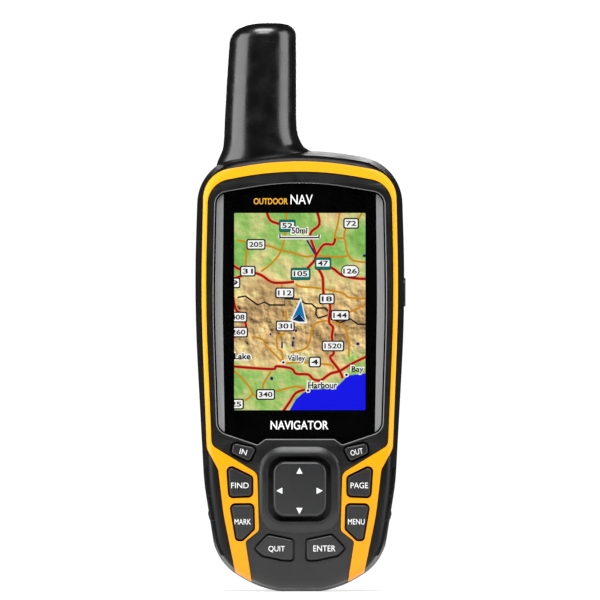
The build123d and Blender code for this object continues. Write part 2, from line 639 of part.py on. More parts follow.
with BuildPart() as antenna_room:
    add(antenna_form(ANTENNA_WALL))
    add(hull(-1.5, 0, BACK_RIM_R), mode=Mode.SUBTRACT)

with BuildPart() as antenna_cover:
    add(antenna_form(0))
    span((-40, -30, ANTENNA_FOOT_Z), (20, 30, 170), mode=Mode.INTERSECT)
    add(outer_form, mode=Mode.SUBTRACT)
    with BuildSketch(Plane.XY.offset(117.5)):
        with Locations((ANTENNA_X, ANTENNA_Y)):
            Circle(ANTENNA_HOLE_R - 0.05)
    extrude(amount=9)
    with BuildSketch(Plane.XY.offset(110)):
        with Locations((ANTENNA_X, ANTENNA_Y)):
            Circle(ANTENNA_HOLE_R - 0.45)
    extrude(amount=18, mode=Mode.SUBTRACT)
    add(antenna_room.part, mode=Mode.SUBTRACT)
write(antenna_cover, "antenna_cover")

with BuildPart() as antenna_former:
    with BuildSketch(Plane.XY.offset(119)):
        with Locations((ANTENNA_X, ANTENNA_Y)):
            Circle(5.0)
            Circle(4.0, mode=Mode.SUBTRACT)
    extrude(amount=35)
write(antenna_former, "antenna_former")

with BuildPart() as antenna_helix:
    for turn in range(4):
        with BuildSketch(Plane.XY.offset(HELIX_Z[0])):
            with Locations((ANTENNA_X, ANTENNA_Y)):
                with PolarLocations(HELIX_R, 1, start_angle=turn * 90):
                    Rectangle(0.3, 1.2)
        extrude(amount=HELIX_Z[1] - HELIX_Z[0])
write(antenna_helix, "antenna_helix")

with BuildPart() as antenna_board:
    with BuildSketch(Plane.XY.offset(118)):
        with Locations((ANTENNA_X, ANTENNA_Y)):
            Circle(5.2)
    extrude(amount=1)
write(antenna_board, "antenna_board")

with BuildPart() as antenna_lead:
    with BuildLine() as route:
        FilletPolyline((ANTENNA_X, ANTENNA_Y, 118), (ANTENNA_X, ANTENNA_Y, 112), (ANTENNA_X, -3.5, 108),
                       (ANTENNA_X, BOARD_Y[1], 108), radius=[3.0, 3.0])
    with BuildSketch(Plane((ANTENNA_X, ANTENNA_Y, 118), z_dir=(0, 0, -1))):
        Circle(0.6)
    sweep(path=route.wires()[0])
write(antenna_lead, "antenna_lead")

# ---------------------------------------------------------------- keys
def key(corners, flange_back):
    """Push key: rounded cap, a flange behind the opening and a stem down to the mat."""
    z = sum(corner[1] for corner in corners) / len(corners)
    with BuildPart() as flange:
        add(slab(corners, flange_back, FRONT_Y - 5, -KEY_FLANGE))
        split(bisect_by=skin_plane(z, WALL + FLANGE_CLEARANCE), keep=Keep.BOTTOM)
    with BuildPart() as cap:
        add(slab(corners, KEY_STEM_BACK, FRONT_Y - 5, KEY_GAP))
        split(bisect_by=skin_plane(z, -KEY_PROUD), keep=Keep.BOTTOM)
        fillet(cap.faces().sort_by(Axis.Y)[0].edges(), KEY_EDGE_R)
        add(flange.part)
    return cap.part


for name, (corners, flange_back) in openings.items():
    with BuildPart() as function_key:
        add(key(corners, flange_back))
    write(function_key, name + "_key")

# ---------------------------------------------------------------- thumb rocker
with BuildPart() as rocker_key:
    add(slab(rounded(0, ROCKER_Z, *ROCKER_FACE), ROCKER_CAP_BACK, FRONT_Y - 5))
    split(bisect_by=skin_plane(ROCKER_Z, -ROCKER_PROUD), keep=Keep.BOTTOM)
    fillet(rocker_key.faces().sort_by(Axis.Y)[0].edges(), 1.0)
    for z in (ROCKER_Z - LUG_OUT, ROCKER_Z + LUG_IN):
        span((-1.2, ROCKER_CAP_BACK, z), (1.2, ROCKER_PIVOT_Y + 1.15, z + LUG_OUT - LUG_IN))
    with BuildSketch(Plane.XY.offset(ROCKER_Z - 5)):
        with Locations((0, ROCKER_PIVOT_Y)):
            Circle(PIN_R + PIN_CLEARANCE)
    extrude(amount=10, mode=Mode.SUBTRACT)
write(rocker_key, "rocker_key")

with BuildPart() as rocker_pivot:
    with Locations((0, ROCKER_PIVOT_Y, ROCKER_Z)):
        Box(2.4, 1.6, 2.4)
        Cylinder(PIN_R, 2 * LUG_OUT)
        Cylinder(PIN_R, 2 * LUG_OUT, rotation=(0, 90, 0))
write(rocker_pivot, "rocker_pivot")

with BuildPart() as base_legs:
    with BuildSketch(facing(-9.5)):
        with Locations([(x, ROCKER_Z + z) for x in (-9.6, 9.6) for z in (-9.9, 9.9)]):
            Circle(0.8)
    extrude(amount=8)
    add(hull(WALL + 0.02, 0, BACK_RIM_R - WALL), mode=Mode.INTERSECT)

with BuildPart() as rocker_base:
    add(slab(rounded(0, ROCKER_Z, 20.8, 21.4, 2), -9.5, -10.0))
    for x in (-LUG_OUT, LUG_IN):
        span((x, ROCKER_PIVOT_Y - 0.9, ROCKER_Z - 1.2), (x + LUG_OUT - LUG_IN, -9.5, ROCKER_Z + 1.2))
    with BuildSketch(Plane.YZ):
        with Locations((ROCKER_PIVOT_Y, ROCKER_Z)):
            Circle(PIN_R + PIN_CLEARANCE)
    extrude(amount=6, both=True, mode=Mode.SUBTRACT)
    add(base_legs.part)
write(rocker_base, "rocker_base")

# ---------------------------------------------------------------- keypad mat and domes
with BuildPart() as keypad_mat:
    add(slab(mirrored([(8, 7.8, 2), (16.6, 13, 2), (20.6, 25, 2), (21.2, 43.0, 2)]), MAT_Y[1], MAT_Y[0]))
write(keypad_mat, "keypad_mat")

dome_places = [(sum(c[0] for c in corners) / len(corners), sum(c[1] for c in corners) / len(corners))
               for corners, flange_back in openings.values()]
dome_places += [(0, ROCKER_Z - 6), (0, ROCKER_Z + 6), (-6, ROCKER_Z), (6, ROCKER_Z)]
with BuildPart() as keypad_domes:
    with BuildSketch(facing(BOARD_Y[0])):
        with Locations(dome_places):
            Circle(DOME_R)
    extrude(amount=0.35, taper=35)
write(keypad_domes, "keypad_domes")

# ---------------------------------------------------------------- power key and its switch
with BuildPart() as power_key:
    with BuildSketch(Plane.YZ.offset(25.4)):
        with Locations((POWER_Y, POWER_Z)):
            RectangleRounded(POWER_SIZE[0], POWER_SIZE[1], 2.0)
    extrude(amount=29.37 + POWER_PROUD - 25.4)
    fillet(power_key.faces().sort_by(Axis.X)[-1].edges(), 0.3)
    span((25.6, POWER_Y - 3.0, POWER_Z - 4.8), (26.5, POWER_Y + 3.0, POWER_Z + 4.8))
write(power_key, "power_key")

with BuildPart() as power_switch:
    span((22.2, BOARD_Y[1], POWER_Z - 3.5), (24.2, POWER_Y + 2.2, POWER_Z + 3.5))
    span((24.2, POWER_Y - 1, POWER_Z - 1), (24.8, POWER_Y + 1, POWER_Z + 1))
write(power_switch, "power_switch")

# ---------------------------------------------------------------- window and display
window_opening = rounded(0, SCREEN_Z, SCREEN_SIZE[0], SCREEN_SIZE[1], 0.3)
with BuildPart() as lens_window:
    add(slab(lens_outline, LENS_Y[1], LENS_Y[0]))
    fillet(lens_window.faces().sort_by(Axis.Y)[0].edges(), 0.15)
write(lens_window, "lens_window")

with BuildPart() as lens_side_strips:
    add(slab(STRIP, MASK_BACK, LENS_Y[1]))
    add(slab(flipped(STRIP), MASK_BACK, LENS_Y[1]))
    add(slab(lens_outline, MASK_BACK, LENS_Y[1], STRIP_INSET), mode=Mode.INTERSECT)
write(lens_side_strips, "lens_side_strips")

with BuildPart() as lens_mask:
    add(slab(lens_outline, MASK_BACK, LENS_Y[1], 0.05))
    add(slab(window_opening, -13, -16), mode=Mode.SUBTRACT)
    add(lens_side_strips.part, mode=Mode.SUBTRACT)
write(lens_mask, "lens_mask")

with BuildPart() as lens_adhesive:
    add(slab(lens_outline, ADHESIVE_BACK, MASK_BACK, 0.4))
    add(slab(lens_outline, ADHESIVE_BACK, MASK_BACK - 1, 2.2), mode=Mode.SUBTRACT)
write(lens_adhesive, "lens_adhesive")

with BuildPart() as lcd_panel:
    add(slab(rounded(0, SCREEN_Z, *PANEL_SIZE, 0.4), PANEL_Y[1], PANEL_Y[0]))
write(lcd_panel, "lcd_panel")

with BuildPart() as lcd_backlight:
    add(slab(rounded(0, SCREEN_Z, *PANEL_SIZE, 0.4), BACKLIGHT_BACK, PANEL_Y[1]))
write(lcd_backlight, "lcd_backlight")

with BuildPart() as lcd_frame:
    add(slab(rounded(0, SCREEN_Z, *PANEL_SIZE, 0.4), BOARD_Y[0], PANEL_Y[0] + 0.3, -FRAME_WALL))
    add(slab(rounded(0, SCREEN_Z, *PANEL_SIZE, 0.4), BACKLIGHT_BACK, PANEL_Y[0] - 1), mode=Mode.SUBTRACT)
    add(slab(rounded(0, SCREEN_Z, *PANEL_SIZE, 0.4), BOARD_Y[0], BACKLIGHT_BACK + 0.5), mode=Mode.SUBTRACT)
write(lcd_frame, "lcd_frame")

with BuildPart() as lcd_flex:
    span((-6, -10.2, 44.2), (6, -10.0, 47.2))
    span((-6, -10.2, 44.2), (6, BOARD_Y[0], 44.4))
write(lcd_flex, "lcd_flex")

# ---------------------------------------------------------------- main board and what it carries
with BuildPart() as main_board:
    add(slab(silhouette, BOARD_Y[1], BOARD_Y[0], 3.8))
    span((-40, -20, 8.0), (40, 20, 140), mode=Mode.INTERSECT)
    with BuildSketch(facing(BOARD_Y[1] + 1)):
        with Locations(screw_places):
            Circle(BOSS_R + 0.4)
        with Locations(POST_PLACES):
            Circle(0.8)
    extrude(amount=3, mode=Mode.SUBTRACT)
write(main_board, "main_board")

with BuildPart() as board_screws:
    with BuildSketch(facing(BOARD_Y[1])):
        with Locations(POST_PLACES):
            Circle(0.7)
    extrude(amount=3.5)
    with BuildSketch(facing(BOARD_Y[1] + 0.8)):
        with Locations(POST_PLACES):
            Circle(1.4)
    extrude(amount=0.8)
write(board_screws, "board_screws")

with BuildPart() as shield_can:
    span((-18, BOARD_Y[1], 54), (-2, BOARD_Y[1] + 2.3, 72))
    fillet(shield_can.edges().filter_by(Axis.Y), 0.8)
    fillet(shield_can.faces().sort_by(Axis.Y)[-1].edges(), 0.4)
write(shield_can, "shield_can")

with BuildPart() as board_chips:
    with BuildSketch(facing(BOARD_Y[1] + CHIP_HEIGHT)):
        for x, z, width, height in CHIPS:
            with Locations((x, z)):
                Rectangle(width, height)
    extrude(amount=CHIP_HEIGHT)
write(board_chips, "board_chips")

with BuildPart() as buzzer:
    rod(14, 103, 5.5, BOARD_Y[1] + 3.0, BOARD_Y[1])
    rod(14, 103, 1.0, BOARD_Y[1] + 3.0, BOARD_Y[1] + 2.0, mode=Mode.SUBTRACT)
write(buzzer, "buzzer")

# ---------------------------------------------------------------- cells, contacts and card
def cell(x, nub_up):
    """AA cell standing along Z, with its positive nub up or down."""
    low, high = CELL_Z
    body_z = low if nub_up else low + CELL_NUB
    with BuildPart() as battery:
        with BuildSketch(Plane.XY.offset(body_z)):
            with Locations((x, CELL_Y)):
                Circle(CELL_R)
        extrude(amount=high - low - CELL_NUB)
        fillet(battery.edges(), 0.6)
        with BuildSketch(Plane.XY.offset(low)):
            with Locations((x, CELL_Y)):
                Circle(CELL_NUB_R)
        extrude(amount=high - low)
    return battery.part


with BuildPart() as battery_cell_left:
    add(cell(-CELL_X, True))
write(battery_cell_left, "battery_cell_left")

with BuildPart() as battery_cell_right:
    add(cell(CELL_X, False))
write(battery_cell_right, "battery_cell_right")

with BuildPart() as battery_contacts:
    for x in (-CELL_X, CELL_X):
        for z in (BAY_Z[0], BAY_Z[1] - CONTACT_THICK):
            span((x - 5, CELL_Y - 5, z), (x + 5, CELL_Y + 5, z + CONTACT_THICK))
    for x, low, high in ((CELL_X, BAY_Z[0], CELL_Z[0]), (-CELL_X, CELL_Z[1], BAY_Z[1])):
        with BuildSketch(Plane.XY.offset(low)):
            with Locations((x, CELL_Y)):
                Circle(2.4)
        extrude(amount=high - low)
write(battery_contacts, "battery_contacts")

with BuildPart() as battery_springs:
    for x, low, high in ((-CELL_X, BAY_Z[0] + CONTACT_THICK, CELL_Z[0]),
                         (CELL_X, CELL_Z[1], BAY_Z[1] - CONTACT_THICK)):
        for turn in range(2):
            z = low + SPRING_WIRE_R + turn * (high - low - 2 * SPRING_WIRE_R)
            with Locations((x, CELL_Y, z)):
                Torus(3.6 - turn * 0.8, SPRING_WIRE_R)
write(battery_springs, "battery_springs")

with BuildPart() as microsd_card:
    span((-5.5, BAY_FLOOR_Y + 0.3, CARD_Z[0]), (5.5, BAY_FLOOR_Y + 1.0, CARD_Z[1]))
write(microsd_card, "microsd_card")

with BuildPart() as microsd_socket:
    span((-6.8, BAY_FLOOR_Y, CARD_Z[0] + 1.5), (6.8, BAY_FLOOR_Y + 1.2, CARD_Z[1] + 0.8))
    add(microsd_card.part, mode=Mode.SUBTRACT)
write(microsd_socket, "microsd_socket")
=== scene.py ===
import math

import bmesh
import bpy
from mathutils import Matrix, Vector
from mathutils.bvhtree import BVHTree


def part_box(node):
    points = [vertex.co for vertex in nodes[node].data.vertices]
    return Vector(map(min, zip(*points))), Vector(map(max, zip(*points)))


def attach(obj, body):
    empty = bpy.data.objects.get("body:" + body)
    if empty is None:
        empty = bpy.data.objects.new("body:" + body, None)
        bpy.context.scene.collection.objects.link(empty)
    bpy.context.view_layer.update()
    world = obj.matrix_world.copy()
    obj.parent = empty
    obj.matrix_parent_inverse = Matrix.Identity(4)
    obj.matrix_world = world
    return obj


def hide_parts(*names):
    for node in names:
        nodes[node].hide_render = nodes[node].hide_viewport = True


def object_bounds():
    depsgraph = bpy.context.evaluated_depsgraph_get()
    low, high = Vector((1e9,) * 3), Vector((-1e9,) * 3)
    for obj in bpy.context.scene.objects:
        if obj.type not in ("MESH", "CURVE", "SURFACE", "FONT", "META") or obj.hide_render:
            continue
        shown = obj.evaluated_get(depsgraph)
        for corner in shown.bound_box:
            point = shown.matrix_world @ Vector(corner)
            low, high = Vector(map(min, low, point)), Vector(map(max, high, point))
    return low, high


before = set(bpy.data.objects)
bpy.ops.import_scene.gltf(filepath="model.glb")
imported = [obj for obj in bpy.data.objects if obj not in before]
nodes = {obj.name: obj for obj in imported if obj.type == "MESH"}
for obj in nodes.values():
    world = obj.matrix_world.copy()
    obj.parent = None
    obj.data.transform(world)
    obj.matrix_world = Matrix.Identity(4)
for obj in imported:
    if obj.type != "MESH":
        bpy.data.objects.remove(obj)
cad_low, cad_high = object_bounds()

MM = 0.001
KEYS = ("in", "out", "find", "page", "mark", "menu", "quit", "enter")


# ---------------------------------------------------------------- material nodes
def principled_of(made):
    return made.node_tree.nodes["Principled BSDF"]


def shader(name, colour, roughness, **sockets):
    """New material with its Principled shader's own sockets set."""
    made = bpy.data.materials.new(name)
    made.use_nodes = True
    principled = principled_of(made)
    principled.inputs["Base Color"].default_value = (*colour, 1)
    principled.inputs["Roughness"].default_value = roughness
    for socket, value in sockets.items():
        principled.inputs[socket.replace("_", " ")].default_value = value
    return made


def put(made, kind, **values):
    """Adds a node to a material, setting its properties and sockets."""
    added = made.node_tree.nodes.new("ShaderNode" + kind)
    for key, value in values.items():
        if key in added.inputs:
            added.inputs[key].default_value = value
        else:
            setattr(added, key, value)
    return added


def join(made, source, target):
    made.node_tree.links.new(source, target)


def arithmetic(made, operation, *terms):
    """Math node on numbers and other nodes' results."""
    worked = put(made, "Math", operation=operation)
    for socket, term in zip(worked.inputs, terms):
        if isinstance(term, float):
            socket.default_value = term
        else:
            join(made, term, socket)
    return worked.outputs[0]


def own_height(made):
    """Height in the object's own space."""
    place = put(made, "TexCoord")
    split = put(made, "SeparateXYZ")
    join(made, place.outputs["Object"], split.inputs["Vector"])
    return split.outputs["Z"]


def noise(made, size_mm, detail=3.0, roughness=0.5, stretch=(1, 1, 1), shift=(0, 0, 0)):
    """Noise in the object's own space, with features about size_mm across."""
    place = put(made, "TexCoord")
    scale = put(made, "Mapping")
    scale.inputs["Scale"].default_value = stretch
    scale.inputs["Location"].default_value = shift
    grains = put(made, "TexNoise", Scale=1 / (size_mm * MM), Detail=detail, Roughness=roughness)
    join(made, place.outputs["Object"], scale.inputs["Vector"])
    join(made, scale.outputs["Vector"], grains.inputs["Vector"])
    return grains.outputs["Fac"]


NOISE_LOW, NOISE_HIGH = 0.3, 0.7                    # most of a noise lies between these


def ramp(made, factor, stops):
    """Colour ramp from (position, colour) stops."""
    bands = put(made, "ValToRGB")
    bands.color_ramp.elements[0].position = stops[0][0]
    bands.color_ramp.elements[0].color = (*stops[0][1], 1)
    bands.color_ramp.elements[1].position = stops[-1][0]
    bands.color_ramp.elements[1].color = (*stops[-1][1], 1)
    for position, colour in stops[1:-1]:
        bands.color_ramp.elements.new(position).color = (*colour, 1)
    join(made, factor, bands.inputs["Fac"])
    return bands.outputs["Color"]


def level(made, factor, low, high, out_low, out_high):
    """Factor from low..high mapped to out_low..out_high."""
    mapped = put(made, "MapRange")
    mapped.inputs["From Min"].default_value = low
    mapped.inputs["From Max"].default_value = high
    mapped.inputs["To Min"].default_value = out_low
    mapped.inputs["To Max"].default_value = out_high
    join(made, factor, mapped.inputs["Value"])
    return mapped.outputs["Result"]


def bumped(made, height, depth_mm):
    bump = put(made, "Bump", Strength=1.0, Distance=depth_mm * MM)
    join(made, height, bump.inputs["Height"])
    join(made, bump.outputs["Normal"], principled_of(made).inputs["Normal"])


def vary_gloss(made, pattern, sharper, duller):
    """Roughness that follows a noise, between two values."""
    join(made, level(made, pattern, NOISE_LOW, NOISE_HIGH, sharper, duller),
         principled_of(made).inputs["Roughness"])


# ---------------------------------------------------------------- materials
PATCH_MM, GLOSS_MM, SCRATCH_MM = 14, 5, 0.4
SCRATCH_DEPTH = 0.01


def grained(made, roughness, grain_mm, grain_depth):
    """Spark-eroded grain and faint gloss variation."""
    vary_gloss(made, noise(made, GLOSS_MM, detail=5), roughness - 0.05, roughness + 0.07)
    bumped(made, noise(made, grain_mm, detail=2), grain_depth)


def moulded(name, colour, roughness, grain_mm, grain_depth, spread=0.25, **sockets):
    """Moulded plastic or rubber: grain, with faint colour and gloss variation."""
    made = shader(name, colour, roughness, **sockets)
    darker = [c * (1 - spread) for c in colour]
    lighter = [min(1, c * (1 + spread)) for c in colour]
    patches = ramp(made, noise(made, PATCH_MM, detail=4), [(NOISE_LOW, darker), (NOISE_HIGH, lighter)])
    join(made, patches, principled_of(made).inputs["Base Color"])
    grained(made, roughness, grain_mm, grain_depth)
    return made


def metal(name, colour, roughness):
    """Metal with fine scratches."""
    made = shader(name, colour, roughness, Metallic=1.0)
    scratches = noise(made, SCRATCH_MM, detail=4, stretch=(1, 1, 0.08))
    vary_gloss(made, scratches, roughness - 0.08, roughness + 0.1)
    bumped(made, scratches, SCRATCH_DEPTH)
    return made


def band_yellow():
    """Gloss-moulded yellow, a little more orange towards the lower loops."""
    roughness = 0.34
    made = shader("band_yellow", (0.92, 0.47, 0.006), roughness, Specular_IOR_Level=0.3)
    height = level(made, own_height(made), 5 * MM, 100 * MM, 0, 1)
    tone = ramp(made, height, [(0.0, (0.93, 0.30, 0.002)), (0.4, (0.95, 0.37, 0.002)),
                               (1.0, (0.96, 0.44, 0.006))])
    join(made, tone, principled_of(made).inputs["Base Color"])
    grained(made, roughness, 0.22, 0.004)
    return made


def window_glass():
    """Clear window: what is behind shows through, with a weak reflection on its outside only."""
    made = bpy.data.materials.new("window")
    made.use_nodes = True
    tree = made.node_tree
    tree.nodes.remove(principled_of(made))
    clear = put(made, "BsdfTransparent")
    gloss = put(made, "BsdfGlossy", Roughness=0.06)
    fresnel = put(made, "Fresnel", IOR=1.3)
    outside = arithmetic(made, "SUBTRACT", 1.0, put(made, "NewGeometry").outputs["Backfacing"])
    share = arithmetic(made, "MULTIPLY", fresnel.outputs["Fac"], outside)
    mix = put(made, "MixShader")
    join(made, share, mix.inputs["Fac"])
    join(made, clear.outputs["BSDF"], mix.inputs[1])
    join(made, gloss.outputs["BSDF"], mix.inputs[2])
    join(made, mix.outputs["Shader"], tree.nodes["Material Output"].inputs["Surface"])
    return made


def glowing(name, colour):
    """Something shown by the lit display."""
    return shader(name, (0, 0, 0), 0.6, Emission_Color=(*colour, 1), Emission_Strength=1.0,
                  Specular_IOR_Level=0.0)


HILL_MM, RIDGE_MM, LIGHT_MM = 9, 3.0, 0.4           # hills, ridges, and the shift that lights the ridges
PEAK_LIFT, EDGE_LIFT = 0.26, -0.04                  # height added in the mountain band and away from it


def relief_map():
    """Shaded relief: green lowland, ochre hills and a brown mountain band across the middle."""
    made = glowing("map_relief", (0, 0, 0))
    low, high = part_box("lcd_panel")
    middle = low.z * 0.55 + high.z * 0.45
    distance = arithmetic(made, "ABSOLUTE", arithmetic(made, "SUBTRACT", own_height(made), middle))
    band = level(made, distance, 3 * MM, 15 * MM, PEAK_LIFT, EDGE_LIFT)
    hills = noise(made, HILL_MM, detail=5, roughness=0.55)
    tone = ramp(made, arithmetic(made, "ADD", band, hills), [
        (0.36, (0.22, 0.48, 0.10)), (0.46, (0.33, 0.55, 0.14)), (0.54, (0.55, 0.60, 0.22)),
        (0.62, (0.78, 0.62, 0.28)), (0.72, (0.62, 0.42, 0.18)), (0.86, (0.42, 0.27, 0.12))])
    ridges = noise(made, RIDGE_MM, detail=4, roughness=0.5)
    shifted = noise(made, RIDGE_MM, detail=4, roughness=0.5, shift=(LIGHT_MM * MM, 0, LIGHT_MM * MM))
    slope = arithmetic(made, "SUBTRACT", ridges, shifted)
    strength = level(made, band, 0.0, PEAK_LIFT, 1.6, 6.0)
    shade = arithmetic(made, "ADD", arithmetic(made, "MULTIPLY", slope, strength), 1.0)
    tinted = put(made, "Mix", data_type="RGBA", blend_type="MULTIPLY")
    tinted.inputs["Factor"].default_value = 1.0
    first, second, result = tinted.inputs[6], tinted.inputs[7], tinted.outputs[2]     # its colour sockets
    join(made, tone, first)
    join(made, shade, second)
    join(made, result, principled_of(made).inputs["Emission Color"])
    return made


# name, colour, roughness, grain size and depth in mm
CASE = moulded("case_black", (0.004, 0.004, 0.0045), 0.36, 0.30, 0.010, Specular_IOR_Level=0.2)
BEZEL = moulded("bezel_grey", (0.007, 0.0072, 0.0076), 0.33, 0.55, 0.030, spread=0.2,
                Specular_IOR_Level=0.5)
ANTENNA = moulded("antenna_black", (0.0015, 0.0015, 0.0016), 0.24, 0.5, 0.003, Specular_IOR_Level=0.9)
GRIP = moulded("grip_rubber", (0.004, 0.004, 0.0045), 0.38, 0.35, 0.015, Specular_IOR_Level=0.2)
KEY = moulded("key_rubber", (0.017, 0.0173, 0.0185), 0.33, 0.3, 0.006, spread=0.1,
              Specular_IOR_Level=0.45)
SEAL = moulded("seal", (0.05, 0.05, 0.05), 0.6, 0.3, 0.01)
YELLOW = band_yellow()
GLASS = window_glass()
MASK = shader("mask_black", (0.0012, 0.0012, 0.0012), 0.6, Specular_IOR_Level=0.0)
STRIP = moulded("strip_grey", (0.27, 0.27, 0.275), 0.6, 0.3, 0.002, spread=0.03, Specular_IOR_Level=0.1)
# Light grey of the lens lip: a painted highlight along the real chamfer round the window
LIP_PAINTED_HIGHLIGHT = moulded("lip_painted_highlight", (0.16, 0.16, 0.165), 0.35, 0.2, 0.002, spread=0.05)
LEGEND = moulded("legend_white", (0.86, 0.87, 0.88), 0.5, 0.2, 0.002, spread=0.03)
# White print on the mask, with a faint white glow added as painted light so that it reads brighter
MASK_LEGEND_PAINTED_GLOW = moulded("mask_legend_painted_glow", (0.90, 0.90, 0.90), 0.5, 0.2, 0.002, spread=0.02,
                      Emission_Strength=0.15, Emission_Color=(1, 1, 1, 1))
GOLD_PRINT = moulded("gold_print", (0.75, 0.36, 0.02), 0.45, 0.2, 0.002, spread=0.03)
STEEL = metal("steel", (0.55, 0.56, 0.58), 0.32)
TIN = metal("tin", (0.62, 0.62, 0.60), 0.38)
GOLD = metal("gold", (0.80, 0.55, 0.20), 0.3)
BOARD = moulded("pcb", (0.012, 0.10, 0.045), 0.4, 0.4, 0.01)
CHIP = moulded("chip", (0.015, 0.015, 0.016), 0.5, 0.2, 0.006)
CELL = moulded("cell_wrap", (0.35, 0.36, 0.38), 0.3, 0.5, 0.003)
INNER = moulded("inner_plastic", (0.05, 0.05, 0.05), 0.55, 0.3, 0.01)
LABEL = moulded("label", (0.7, 0.7, 0.68), 0.6, 0.3, 0.004, spread=0.05)
RELIEF = relief_map()

FINISH = {
    CASE: ("front_case", "rear_case", "battery_door", "mounting_spine"),
    BEZEL: ("front_bezel",),
    ANTENNA: ("antenna_cover",),
    GRIP: ("left_grip", "right_grip"),
    KEY: tuple(key + "_key" for key in KEYS) + ("rocker_key", "power_key", "usb_cap", "antenna_port_cap"),
    SEAL: ("lens_adhesive", "case_seal", "door_seal", "keypad_mat"),
    YELLOW: ("yellow_trim",),
    GLASS: ("lens_window",),
    MASK: ("lens_mask",),
    STRIP: ("lens_side_strips",),
    STEEL: ("case_screws", "board_screws", "latch_spindle", "d_ring", "rocker_pivot", "battery_springs"),
    TIN: ("lcd_frame", "shield_can", "usb_socket", "keypad_domes", "microsd_socket", "battery_contacts"),
    GOLD: ("mcx_socket", "antenna_helix"),
    BOARD: ("main_board", "port_board", "antenna_board"),
    CHIP: ("board_chips", "microsd_card", "buzzer", "board_header", "power_switch"),
    CELL: ("battery_cell_left", "battery_cell_right"),
    INNER: ("rocker_base", "lcd_backlight", "lcd_flex", "antenna_former", "antenna_lead"),
    LABEL: ("rear_label",),
    RELIEF: ("lcd_panel",),
}
for finish, members in FINISH.items():
    for member in members:
        nodes[member].data.materials.clear()
        nodes[member].data.materials.append(finish)

# Moulded edges are never sharp: (width in mm, nodes)
EDGES = [(0.4, ("yellow_trim",)), (0.22, ("front_bezel",)), (0.2, ("left_grip", "right_grip")),
         (0.25, ("battery_door", "mounting_spine", "latch_spindle"))]
WELD_MM = 0.002
SHARP = 35                                          # edges that turn by more are rounded, in degrees
for width, members in EDGES:
    for member in members:
        weld = nodes[member].modifiers.new("weld", "WELD")
        weld.merge_threshold = WELD_MM * MM
        bevel = nodes[member].modifiers.new("edge", "BEVEL")
        bevel.width = width * MM
        bevel.segments = 3
        bevel.limit_method = "ANGLE"
        bevel.angle_limit = math.radians(SHARP)
        bevel.harden_normals = member != "yellow_trim"


# ---------------------------------------------------------------- flat shapes seen from the front
AHEAD = -0.1                                        # y of a place well in front of the object, in metres
FONT_SIZE = 1.4                                     # font size of a letter of height 1, before fitting
PRINT_LIFT = 0.02                                   # height of a print above its surface, in mm
PRINT_STEP = 0.35                                   # longest edge in a print, in mm
KEY_FRONT = -15.6                                   # y of the keys' front, for a place beside them, in mm


def surface_of(name):
    """Search tree over a CAD node, for finding the depth of its front at a place."""
    mesh = nodes[name].data
    return BVHTree.FromPolygons([v.co.copy() for v in mesh.vertices],
                                [list(p.vertices) for p in mesh.polygons])


def front_depth(tree, x, z, default):
    hit = tree.ray_cast(Vector((x, AHEAD, z)), Vector((0, 1, 0)))[0]
    return hit.y if hit else default


def piece(name, verts, faces, finish, body):
    """New mesh piece on a body."""
    mesh = bpy.data.meshes.new(name)
    mesh.from_pydata(verts, [], faces)
    mesh.validate()
    mesh.update()
    mesh.materials.append(finish)
    made = bpy.data.objects.new(name, mesh)
    bpy.context.scene.collection.objects.link(made)
    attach(made, body)
    return made


def flat_piece(name, shape, y, finish):
    """Flat piece on the housing at a depth, facing the front."""
    places, faces = shape
    made = piece(name, [(x, y, z) for x, z in places], faces, finish, "housing")
    for face in made.data.polygons:
        if face.normal.y > 0:
            face.flip()


def lettering(text, width, height, x, z, bold=0.0, turn=0.0):
    """Word as flat triangles, fitted to a width and height in mm, centred on x, z:
    (places, faces) in metres."""
    curve = bpy.data.curves.new(text, "FONT")
    curve.body = text
    curve.size = FONT_SIZE * height * MM
    curve.offset = bold * MM
    curve.resolution_u = 6
    carrier = bpy.data.objects.new(text, curve)
    bpy.context.scene.collection.objects.link(carrier)
    graph = bpy.context.evaluated_depsgraph_get()
    mesh = bpy.data.meshes.new_from_object(carrier.evaluated_get(graph))
    build = bmesh.new()
    build.from_mesh(mesh)
    bmesh.ops.remove_doubles(build, verts=build.verts, dist=0.001 * MM)
    bmesh.ops.triangulate(build, faces=build.faces)
    low = [min(v.co[i] for v in build.verts) for i in (0, 1)]
    high = [max(v.co[i] for v in build.verts) for i in (0, 1)]
    cos_turn, sin_turn = math.cos(math.radians(turn)), math.sin(math.radians(turn))
    places = []
    for v in build.verts:
        across = ((v.co.x - low[0]) / (high[0] - low[0]) - 0.5) * width
        along = ((v.co.y - low[1]) / (high[1] - low[1]) - 0.5) * height
        places.append(((x + across * cos_turn - along * sin_turn) * MM,
                       (z + across * sin_turn + along * cos_turn) * MM))
    faces = [[v.index for v in f.verts] for f in build.faces]
    build.free()
    bpy.data.objects.remove(carrier)
    return places, faces


def collected(shapes):
    """Several (places, faces) shapes as one."""
    places, faces = [], []
    for more_places, more_faces in shapes:
        start = len(places)
        places += more_places
        faces += [[start + i for i in face] for face in more_faces]
    return places, faces


def refined(shape):
    """The same flat shape cut into small triangles, so that it can follow a curve."""
    build = bmesh.new()
    verts = [build.verts.new((x, 0, z)) for x, z in shape[0]]
    for face in shape[1]:
        build.faces.new([verts[i] for i in face])
    for _ in range(4):
        long_edges = [e for e in build.edges if e.calc_length() > PRINT_STEP * MM]
        if not long_edges:
            break
        bmesh.ops.subdivide_edges(build, edges=long_edges, cuts=1)
        bmesh.ops.triangulate(build, faces=build.faces)
    build.verts.index_update()
    places = [(v.co.x, v.co.z) for v in build.verts]
    faces = [[v.index for v in f.verts] for f in build.faces]
    build.free()
    return places, faces


def outer_edges(faces):
    """Edges that only one of the faces has, in the direction in which it runs along them."""
    edges = dict.fromkeys((a, b) for face in faces for a, b in zip(face, face[1:] + face[:1]))
    return [(a, b) for a, b in edges if (b, a) not in edges]


